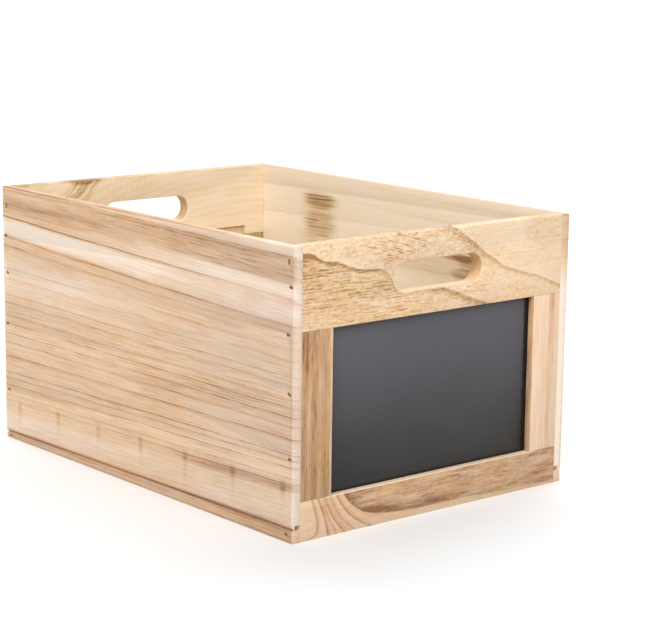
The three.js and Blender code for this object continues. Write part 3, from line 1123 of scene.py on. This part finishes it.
def slot_ends(along):
    """1 at the hand hole's two round ends, where the cut shows end grain."""
    return fade(along.size(), 31, 37)


# %% Finish for the front upper rail


def rail_vessels(point, level, past_left, below_left, between):
    """Combs of vessels below the left edge, and short slanting rows between the two edges."""
    along, down, deep = point
    combs = strokes(along, level, deep, pitch=2.25, length=11, swell=3.4, seed=35) * below_left
    combs = combs * fade(along, 20, -50) * fade(past_left, 60, 20)
    slanted = level - (along + 60) * 0.28
    slants = strokes(along, slanted, deep, pitch=1.9, length=8, swell=1.8, seed=37) * between
    return combs * 0.32 + slants * spot(along, down, (-36, 8), (40, 13)) * 0.46


def rail_flecks(point, level, below_left, below_right, between):
    """Flecks that are fullest between the edges, and faint rows in the corner on the right."""
    along, _, deep = point
    flecks = flecked(point, level, bend=6, length=3.2, contrast=1.6, seed=38)
    fullness = 0.4 + between * 0.55 + below_left * 0.22 + (1 - below_right) * 0.45
    faint = strokes(along, level, deep, pitch=2.6, length=30, swell=3, seed=36) * (1 - below_right)
    return flecks * fullness * fade(along, 90, 20).most(0.55) + faint * 0.07


def front_rail_figure(along, down, deep):
    """Two ring edges across the rail, with the shade, the vessels and the flecks round them."""
    point = (along, down, deep)
    level = down + sway(point, (20, 9, 12), 31, 1.8, 3) + (deep + HALF_LENGTH / MM) * 0.25
    past_left = level - curve(along, LEFT_EDGE)
    past_right = level - curve(along, RIGHT_EDGE)
    below_left = fade(past_left, -0.7, 0.7)
    below_right = fade(past_right, -0.4, 0.6)
    between = below_right * (1 - below_left)
    left_band = below_left * fade(past_left / (fade(along, -30, 0) * 3 + 4), 1, 0.2)
    left_band = left_band * curve(along, LEFT_EDGE_STRENGTH)
    right_band = below_right * fade(past_right / curve(along, RIGHT_EDGE_BREADTH), 1.6, 0.3) * 0.3
    knot = spot(along, down, (-117, 6), (11, 4.5)) * below_left * 0.26
    browner = fade(along, -78, -116) * below_left * fade(past_left, 44, 6) * 0.24
    warm = spot(along, down, (102, 8), (28, 16)) * 0.2
    tone = 0.15 + sway(point, (38, 14, 20), 34, 0.26) + warm + between * 0.19 + below_left * 0.3
    tone = tone + rail_flecks(point, level, below_left, below_right, between) + browner + left_band
    tone = tone + knot + right_band + rail_vessels(point, level, past_left, below_left, between)
    wall = slot_wall(*point)
    lower = fade(down, 30, 37)
    # The slot's round ends are darker as end grain, and darker again towards their top as painted shade.
    inside = 0.38 + lower * 0.13 + slot_ends(along) * (0.31 - lower * 0.27)
    # Painted shade on the rim.
    tone = tone * (1 - wall) + wall * inside + shaded_rim(down, 0.22)
    return tone, 0.15 + below_left * 0.4, level


front_rail_wood = wood(
    "upper_rail_wood", "X", RAIL_PALETTE, front_rail_figure, 3, (FRESH_RAIL, END_SKIN), streak=0.12
)

# %% [markdown]
# ## The front lower rail
#
# This rail comes from near the edge of the log, where the saw leaves tall arches. The outermost
# falls steeply and then runs flat to the right: it is a curve of depth along the rail. The others
# stand almost upright, so each of them is the opposite, a curve of how far from the box's left
# corner it stands at each depth, after how strong the arch is and how far its shade trails off.
# Above the outermost arch the wood is brown and mottled. The rail's upper arris, in the opening,
# is pale: a painted highlight on the narrow ledge that faces up into the light.

# %% Colours and curves of the front lower rail
LOWER_PALETTE = [(248, 224, 194), (236, 205, 173), (220, 184, 149), (197, 157, 120), (144, 105, 74)]
FIRST_ARCH = [(-125, -110), (-95, -34), (-85, -8), (-81, 0), (-78, 5), (-73, 10), (-65, 15), (-57, 18),
              (-45, 20), (-30, 21.5), (-15, 22), (25, 22.5), (65, 24), (125, 25)]
UPRIGHT_ARCHES = [
    (0.9, 5, [(-2, 15.5), (10, 20), (18, 21.5), (23, 20.5), (26, 15), (27.5, 7)]),
    (1, 5, [(-2, 20.5), (10, 26), (29, 31.5)]),
    (0.6, 3, [(-2, 25.5), (10, 29), (21, 34.5), (29, 39)]),
    (0.9, 13, [(-2, 27.5), (10, 32), (21, 39.5), (29, 47.5)]),
    (0.45, 4, [(-2, 31.5), (10, 37), (21, 47), (29, 58)]),
    (1, 8, [(-2, 37), (4, 40), (11, 45), (21, 57), (29, 73)]),
]
print(len(UPRIGHT_ARCHES), "upright arches on the lower rail")

# %% Finish for the front lower rail


def front_foot_figure(along, down, deep):
    """Arches that flatten to the right, with browner wood above the first of them."""
    point = (along, down, deep)
    top = down - (HEIGHT - LOWER_RAIL_TOP) / MM
    level = top + sway(point, (22, 8, 12), 41, 1.8, 3) + (deep + HALF_LENGTH / MM) * 0.2
    first = curve(along, FIRST_ARCH)
    uneven = noise(point, (9, 7, 9), 47) * 0.9 + 0.55
    rings = 0
    for strength, reach, arch in UPRIGHT_ARCHES:
        past = along + HALF_WIDTH / MM - curve(level, arch)
        trail = fade(past, -0.6, 0.6) * fade(past, reach, 0) * 0.24
        rings = (trail + fade(past.size(), 1.7, 0.2) * uneven * 0.3) * strength + rings
    above = fade(level - first, 0.7, -0.7)
    beyond = fade(level - first, 4, 0) * (1 - above) * fade(along, -30, -70) * 0.2
    edge = fade(first - level, 11, 0) * above * fade(along, 60, -30) * 0.26
    mottle = noise((along, level, deep), (24, 3.4, 12), 42, 4, 0.6)
    patches = noise(point, (45, 11, 20), 43)
    deeper = fade(along, -30, -75) * 0.06
    brown = above * (0.34 + (mottle - 0.5) * 0.85 + (patches - 0.5) * 0.4 + edge + deeper)
    rows = strokes(along, level, deep, pitch=1.9, length=12, swell=2.6, seed=44) * (0.06 + above * 0.06)
    flecks = flecked(point, level, bend=5, length=4, contrast=0.8, seed=45) * (0.35 + above * 0.3)
    # Painted highlight: the narrow ledge at the top of the rail, in the opening, is drawn pale.
    arris = fade(top, 0.7, 0.3) * fade(along.size(), 98, 96)
    tone = 0.33 + rings + beyond + brown + rows + flecks
    return tone * (1 - arris) + arris * 0.04, 0.2 + above * 0.3, level


front_foot_wood = wood("lower_rail_wood", "X", LOWER_PALETTE, front_foot_figure, 4, fibre=0.36, streak=0.14)

# %% [markdown]
# ## The stiles
#
# The two front stiles are offcuts of different boards, one brown and streaked, the other pale.
# A curve across the stile's width sets the streaks, and rows of upright strokes break them up.
# Where the right stile turns into the opening, its edge beside the board is darker: painted shade
# in that narrow recess.

# %% Finishes for the stiles
BROWN_PALETTE = [(242, 208, 168), (226, 189, 149), (206, 167, 127), (182, 142, 104), (138, 100, 68)]
PALE_PALETTE = [(252, 227, 203), (245, 212, 182), (234, 197, 162), (211, 169, 130), (160, 118, 82)]
FRESH_STILE = [(236, 210, 176), (220, 190, 154), (198, 167, 130), (172, 141, 106), (130, 102, 72)]
BROWN_STREAKS = [(-118, 0.62), (-113.5, 0.72), (-111, 0.48), (-108, 0.7), (-104.5, 0.62), (-102.4, 0.47),
                 (-100.8, 0.5), (-99, 0.6), (-96, 0.48), (-94, 0.4), (-92.6, 0.08), (-88, 0.08)]


def brown_figure(along, across, deep):
    """Upright brown streaks with a paler one, and short dark flecks that thicken to the top."""
    point = (along, across, deep)
    level = across + sway(point, (60, 12, 12), 51, 2.4) + sway(point, (15, 5, 8), 54, 2)
    patches = sway((along, level, deep), (26, 4, 12), 52, 0.6, 3)
    lines = strokes(along, level, deep, pitch=1.7, length=18, swell=1.4, seed=53) * 0.16
    stained = spot(along, across, (128, -113), (24, 7)) * 0.24
    return curve(level, BROWN_STREAKS) * 0.9 + patches + lines + stained, 0.9, level


def pale_figure(along, across, deep):
    """A pale board with fine upright lines and one brownish streak down from the top."""
    point = (along, across, deep)
    level = across + sway(point, (90, 12, 12), 61, 3)
    streak = near(level, 110.5, 4.5, 1) * (0.16 + fade(along, 70, 132) * 0.16)
    patches = sway(point, (50, 9, 12), 62, 0.24)
    lines = strokes(along, level, deep, pitch=1.9, length=30, swell=1.2, seed=63) * 0.2
    # Painted shade on the stile's edge in the opening, beside the sunken board.
    shaded_reveal = fade(across, OPENING_HALF / MM + 0.5, OPENING_HALF / MM + 0.1) * 0.38
    return 0.27 + lines + streak + patches + shaded_reveal, 0.3 + streak, level


def back_stile_figure(along, across, deep):
    """The back stiles, browner on the face that looks into the box."""
    point = (along, across, deep)
    level = across + sway(point, (70, 12, 12), 66, 3)
    lines = ring_edge(level * 0.26, 4) * 0.2
    inner = fade(deep, 171, 166)
    patches = sway(point, (36, 7, 12), 67, 0.4)
    return 0.3 + lines + inner * 0.42 + patches, 0.5, level


brown_stile_wood = wood(
    "stile_wood_brown", "Z", BROWN_PALETTE, brown_figure, 5, (FRESH_STILE, END_SKIN), fibre=0.6
)
pale_stile_wood = wood("stile_wood_pale", "Z", PALE_PALETTE, pale_figure, 6, fibre=0.4)
back_stile_wood = wood(
    "stile_wood_back", "Z", BROWN_PALETTE, back_stile_figure, 7, (FRESH_STILE, END_SKIN)
)

# %% [markdown]
# ## The back rails
#
# Of the back upper rail the inner face shows, over the left side's rim. Its rings are wide arches
# that open to the right, drawn as distances from a point, and a fan of brown streaks crosses them
# near the left end. Beside the fan the plane has chattered and left faint upright flutes. The
# back lower rail is hidden from the front, and has plain level grain.

# %% Finishes for the back rails
ARCH_CENTRE = (92, 70)
FAN_PLACE = -57
FAN_LEAN = 0.8


def back_rail_figure(along, down, deep):
    """Wide arches that open towards the right, a fan of brown streaks, and upright flutes by it."""
    point = (along, down, deep)
    wander = sway(point, (34, 12, 16), 71, 4)
    reach = (((along - ARCH_CENTRE[0]) * 0.42) ** 2 + (down - ARCH_CENTRE[1] + wander) ** 2) ** 0.5
    rings = ring_edge(reach * (1 / 5.2), 3) * 0.14
    slanted = down * 0.75 + along * 0.66 + wander * 1.5
    ragged = sway((along, slanted, deep), (30, 2.4, 20), 72, 22)
    away = (along - FAN_PLACE + down * FAN_LEAN + ragged).size()
    fan = fade(away, 22, 5) * fade(down, 24, 8)
    streaks = fade(noise((along, slanted, deep), (40, 2, 6), 73, 3), 0.4, 0.62)
    blob = spot(along, down, (FAN_PLACE, 0), (19, 4)) * 0.42
    patches = sway(point, (50, 14, 20), 74, 0.22)
    corner = fade(along, -78, -112) * fade(down, 26, 6) * 0.26
    flutes = ((along + down * 0.3) * (1 / 5.6)).fract() - 0.5
    flutes = (0.05 + flutes.size() * 0.16) * spot(along, down, (-18, 8), (30, 22))
    tone = 0.2 + rings + fan * (0.06 + streaks * 0.42) + blob + corner + patches + flutes
    wall = slot_wall(*point)
    tone = tone * (1 - wall) + wall * (0.3 + slot_ends(along) * 0.4)
    # Painted shade on the rim, strongest towards the outer face.
    rim = shaded_rim(down, fade(deep, 171.5, 174) * 0.55 + 0.35)
    return tone + rim, 0.15 + fan * 0.5, down + wander


def back_foot_figure(along, down, deep):
    """Plain level grain with a few soft rings."""
    point = (along, down, deep)
    level = down + sway(point, (60, 12, 12), 76, 5) + deep * 0.2
    rings = ring_edge(level * 0.15, 4) * 0.24
    return 0.34 + rings + sway(point, (50, 9, 12), 77, 0.3), 0.35, level


back_rail_wood = wood(
    "upper_rail_wood_back", "X", RAIL_PALETTE, back_rail_figure, 8, (FRESH_RAIL, END_SKIN), fibre=0.3
)
back_foot_wood = wood("lower_rail_wood_back", "X", LOWER_PALETTE, back_foot_figure, 9)

# %% [markdown]
# ## Strips, bottom and dowels
#
# The strips are laths of the same timber as the sides. The bottom's face veneer was peeled off a
# turning log, so the knife crossed each ring at a slant and left wide wandering contours, as on a
# map of low hills: noise is the height of the hills, and its fraction draws the contours.

# %% Finishes for the strips and the bottom
STRIP_PALETTE = [(240, 210, 180), (228, 192, 158), (208, 170, 136), (182, 142, 108), (134, 98, 70)]
PLY_PALETTE = [(248, 234, 211), (240, 220, 191), (228, 205, 173), (204, 175, 141), (166, 132, 97)]


def strip_figure(along, down, deep):
    """A narrow strip, its grain as plain as a lath's, with paler end grain."""
    point = (along, down, deep)
    level = down + sway(point, (70, 5, 6), 81, 3)
    lines = ring_edge(level * 0.31, 3) * 0.2
    nearer = fade(along, -60, -150) * 0.2 - fade(along.size(), 174, 174.8) * 0.36
    return 0.33 + nearer + lines + sway(point, (34, 6, 8), 82, 0.4), 0.35, level


def ply_figure(along, across, deep):
    """A peeled veneer: wide wandering contours where the knife crossed the rings."""
    point = (along, across, deep)
    hills = noise(point, (150, 62, 40), 84, 2, 0.4)
    rings = ring_edge(hills * 13, 2.5) * 0.2
    return 0.2 + rings + sway(point, (90, 30, 20), 85, 0.2), 0.2, across


strip_wood = wood("strip_wood", "Y", STRIP_PALETTE, strip_figure, 10)
ply_wood = wood("bottom_plywood", "FLAT", PLY_PALETTE, ply_figure, 11, vessel=0.14, fibre=0.24)
dowel_wood = wood("dowel_wood", "Z", PALE_PALETTE, lambda *place: (0.4, 0.3, place[1]), 12)

# %% [markdown]
# ## Chalkboard paint
#
# The board is rolled with matt charcoal paint. Its colour is lighter towards the top: a painted
# reflection of the bright room, with a cloudy haze of chalk dust in it. At the right edge and along
# the foot it is much darker, with a ragged border: painted shade, where the frame shades the sunken
# board and blocks its reflection. The bare back is brown fibreboard, flecked with fibres.

# %% Finishes for the board
PAINT_DARK = (46, 45, 44)
PAINT_DUST_AND_REFLECTION = (101, 101, 107)
PAINT_SHADE = (14, 11, 7)
BARE_BOARD = [(186, 157, 119), (213, 188, 153), (231, 211, 180)]


def chalk_paint():
    """Charcoal paint, lighter above with painted reflection and dust, with painted shade at its edges."""
    finish = Finish("chalkboard_paint")
    place = finish.millimetres()
    x, _, z = place
    cloud = noise(place, (70, 70, 45), 91, 3)
    # Painted reflection: lighter towards the top, as the bright room shows in the paint, with chalk dust.
    dust_and_reflection = fade(z, 12, 152) * 0.82 + (cloud - 0.5) * 0.26
    grain = noise(place, (0.5, 0.5, 0.5), 92, 2)
    ragged = sway(place, (2.4, 2.4, 1.8), 93, 3, 3)
    right_gap = OPENING_HALF / MM - x + ragged
    foot_gap = z - LOWER_RAIL_TOP / MM + ragged
    # Painted shade: much darker near the right edge and along the foot, where the frame shades the board.
    corner = fade(right_gap, 6, 2.6).most(fade(foot_gap, 3.2, 0.6) * 0.7)
    paint_face = blend(dust_and_reflection + (grain - 0.5) * 0.08, linear(PAINT_DARK), linear(PAINT_DUST_AND_REFLECTION))
    return finish.done(
        Base_Color=blend(corner, paint_face, linear(PAINT_SHADE)),
        Roughness=0.46 + cloud * 0.12 + corner * 0.3,
        Specular_IOR_Level=0.25,
        Normal=bump(grain, 0.12, 0.1 * MM),
    )


def fibreboard():
    """The bare side of the board."""
    finish = Finish("chalkboard_back")
    place = finish.millimetres()
    felt = noise(place, (1.4, 1.4, 1.4), 95, 4, 0.7)
    cloud = noise(place, (40, 40, 40), 96, 2)
    return finish.done(
        Base_Color=ramp(felt * 0.8 + cloud * 0.2, BARE_BOARD),
        Roughness=0.78,
        Specular_IOR_Level=PLAIN_SPECULAR,
        Normal=bump(felt, 0.3, 0.1 * MM),
    )


board_paint = chalk_paint()
board_back = fibreboard()

# %% [markdown]
# ## Brads and bruised wood
#
# The brads are bright steel that has dulled and browned, and the wood round each is crushed and
# stained. Both are so small that noise alone, at well under a millimetre, is enough variety.

# %% Finishes for the brads and their slots
TARNISHED_STEEL = [(108, 72, 46), (146, 106, 74), (176, 138, 106)]
CRUSHED_WOOD = [(116, 76, 42), (160, 114, 70), (192, 148, 102)]


def dull_steel():
    """Steel with brown tarnish in grains."""
    finish = Finish("brad_steel")
    tarnish = noise(finish.millimetres(), (0.6, 0.6, 0.6), 97, 3)
    return finish.done(
        Base_Color=ramp(tarnish, TARNISHED_STEEL),
        Roughness=0.42 + tarnish * 0.3,
        Metallic=0.2,
    )


def crushed_wood():
    """Wood crushed and stained by the gun and the drill."""
    finish = Finish("crushed_wood")
    stain = noise(finish.millimetres(), (0.9, 0.5, 0.5), 98, 3)
    return finish.done(
        Base_Color=ramp(stain, CRUSHED_WOOD),
        Roughness=0.85,
        Specular_IOR_Level=0.1,
    )


brad_finish = dull_steel()
bruise = crushed_wood()
print(len(bpy.data.materials), "materials")

# %% [markdown]
# ## Dressing the box
#
# Each board takes its finish, hides the imported piece that it stands for and rides on the box's only
# body. The dowels keep their imported shape, since nothing of them shows.

# %% Give each piece its finish and its place in the frame


def dress(piece, slot, node, *materials):
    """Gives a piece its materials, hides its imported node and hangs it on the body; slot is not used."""
    for material in materials:
        piece.data.materials.append(material)
    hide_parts(node)
    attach(piece, "root")


side_woods = {"left": side_left_wood, "right": side_right_wood}
rail_woods = {
    "front_top": front_rail_wood, "front_bottom": front_foot_wood,
    "back_top": back_rail_wood, "back_bottom": back_foot_wood,
}
stile_woods = {
    ("front", "left"): brown_stile_wood, ("front", "right"): pale_stile_wood,
    ("back", "left"): back_stile_wood, ("back", "right"): back_stile_wood,
}
for side_name in SIDES:
    dress(side_boards[side_name], "side_wood", f"side_panel_{side_name}", side_woods[side_name], bruise)
    dress(foot_strips[side_name], "strip_wood", f"bottom_strip_{side_name}", strip_wood, bruise)
for rail_name, rail in rails.items():
    level = rail_name.split("_")[1]
    dress(rail, f"{level}_rail_wood", f"{rail_name}_rail", rail_woods[rail_name], bruise)
for (end_name, side_name), post in stiles.items():
    dress(post, "stile_wood", f"{end_name}_stile_{side_name}", stile_woods[end_name, side_name], bruise)
for end_name, board in chalkboards.items():
    dress(board, "chalkboard", f"{end_name}_chalkboard", board_paint, board_back)
for brad in brads:
    dress(brad, "brad_steel", brad["node"], brad_finish)
dress(bottom_sheet, "bottom_plywood", "bottom_panel", ply_wood)
dowels = [piece for node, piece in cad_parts.items() if node.startswith("dowel_")]
for dowel in dowels:
    dowel.data.materials.clear()
    dowel.data.materials.append(dowel_wood)
print(len(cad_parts) - len(dowels), "pieces modelled again,", len(dowels), "dowels kept")

# %% [markdown]
# ## Floor
#
# The floor is a wide pale disc. How pale it looks and how much light it throws back are two
# things: a white floor would light the box from below and wash out its shadows. So the floor is
# nearly white to the camera and to reflections, and a mid grey to the light that bounces off it.

# %% Floor
FLOOR_RADIUS = 8
FLOOR_VERTICES = 64
FLOOR_SEEN = (0.9, 0.9, 0.9, 1)
FLOOR_BOUNCE = (0.45, 0.45, 0.45, 1)

clear_bench()
bpy.ops.mesh.primitive_circle_add(vertices=FLOOR_VERTICES, radius=FLOOR_RADIUS, fill_type="NGON")
floor = bpy.context.object
floor.name = "floor"
floor_finish = Finish("floor")
floor.data.materials.append(floor_finish.done(
    Base_Color=blend(floor_finish.seen(), FLOOR_BOUNCE, FLOOR_SEEN),
    Roughness=0.9,
    Specular_IOR_Level=0.0,
))

# %% [markdown]
# ## Light
#
# A large soft lamp stands to the front and left of the box, and a weaker one behind it on the
# right, which lights the inner faces that the first one can't reach. The sky fills in evenly. The
# sky is white where the camera looks at it, whatever light it gives, so the background stays
# plain without any more light on the box.

# %% Light
SKY_LEVEL = 0.32

world = bpy.data.worlds.new("studio")
bpy.context.scene.world = world
world.use_nodes = True
world.node_tree.nodes.clear()
studio = Nodes(world.node_tree)
white = (1, 1, 1, 1)
sky = studio.add("Background", None, {"Color": white, "Strength": SKY_LEVEL})
backdrop = studio.add("Background", None, {"Color": white, "Strength": 1})
mixed = studio.add("MixShader", None, {0: studio.seen(), 1: sky, 2: backdrop})
output = world.node_tree.nodes.new("ShaderNodeOutputWorld")
studio.put(output.inputs["Surface"], mixed)


def add_sun(name, azimuth, elevation, strength, softness):
    """A lamp at infinity. Azimuth 0 shines from the front, 90 from the left, as seen from above."""
    clear_bench()
    bpy.ops.object.light_add(type="SUN")
    sun = bpy.context.object
    sun.name = name
    sun.rotation_euler = (math.radians(90 - elevation), 0, math.radians(-azimuth))
    sun.data.energy = strength
    sun.data.angle = math.radians(softness)
    print(f"{name} lamp at {azimuth} degrees, strength {strength}")


add_sun("key", azimuth=42, elevation=40, strength=2.9, softness=60)
add_sun("back", azimuth=222, elevation=45, strength=1.8, softness=60)

# %% [markdown]
# ## Camera
#
# The camera stands where the photograph was taken, a little above the box and to its left. Its
# focal length is given in pixels of the picture, which is how a camera is measured from a
# picture: the sensor's width then turns it into millimetres.

# %% Camera
CAMERA_PLACE = Vector((-937.4, -1171.4, 407.2)) * MM
CAMERA_AZIMUTH = 40.13
CAMERA_DOWN = 11.30
CAMERA_ROLL = 0.75
FOCAL_PIXELS = 2070
FRAME_PIXELS = 654
SENSOR_WIDTH = 36

clear_bench()
bpy.ops.object.camera_add()
camera = bpy.context.object
camera.name = "camera"
camera.data.sensor_width = SENSOR_WIDTH
camera.data.lens = FOCAL_PIXELS * SENSOR_WIDTH / FRAME_PIXELS
print(f"lens {camera.data.lens:.1f} mm")
turn = Matrix.Rotation(math.radians(-CAMERA_AZIMUTH), 4, "Z")
tilt = Matrix.Rotation(math.radians(90 - CAMERA_DOWN), 4, "X")
roll = Matrix.Rotation(math.radians(CAMERA_ROLL), 4, "Z")
camera.matrix_world = Matrix.Translation(CAMERA_PLACE) @ turn @ tilt @ roll
camera.data.dof.use_dof = False
bpy.context.scene.camera = camera
bpy.context.scene.view_settings.view_transform = "Standard"

# %% [markdown]
# ## Last step
#
# At the end nothing is left selected. The dressed box may not be larger than the
# imported one.

# %% Clear the bench
clear_bench()
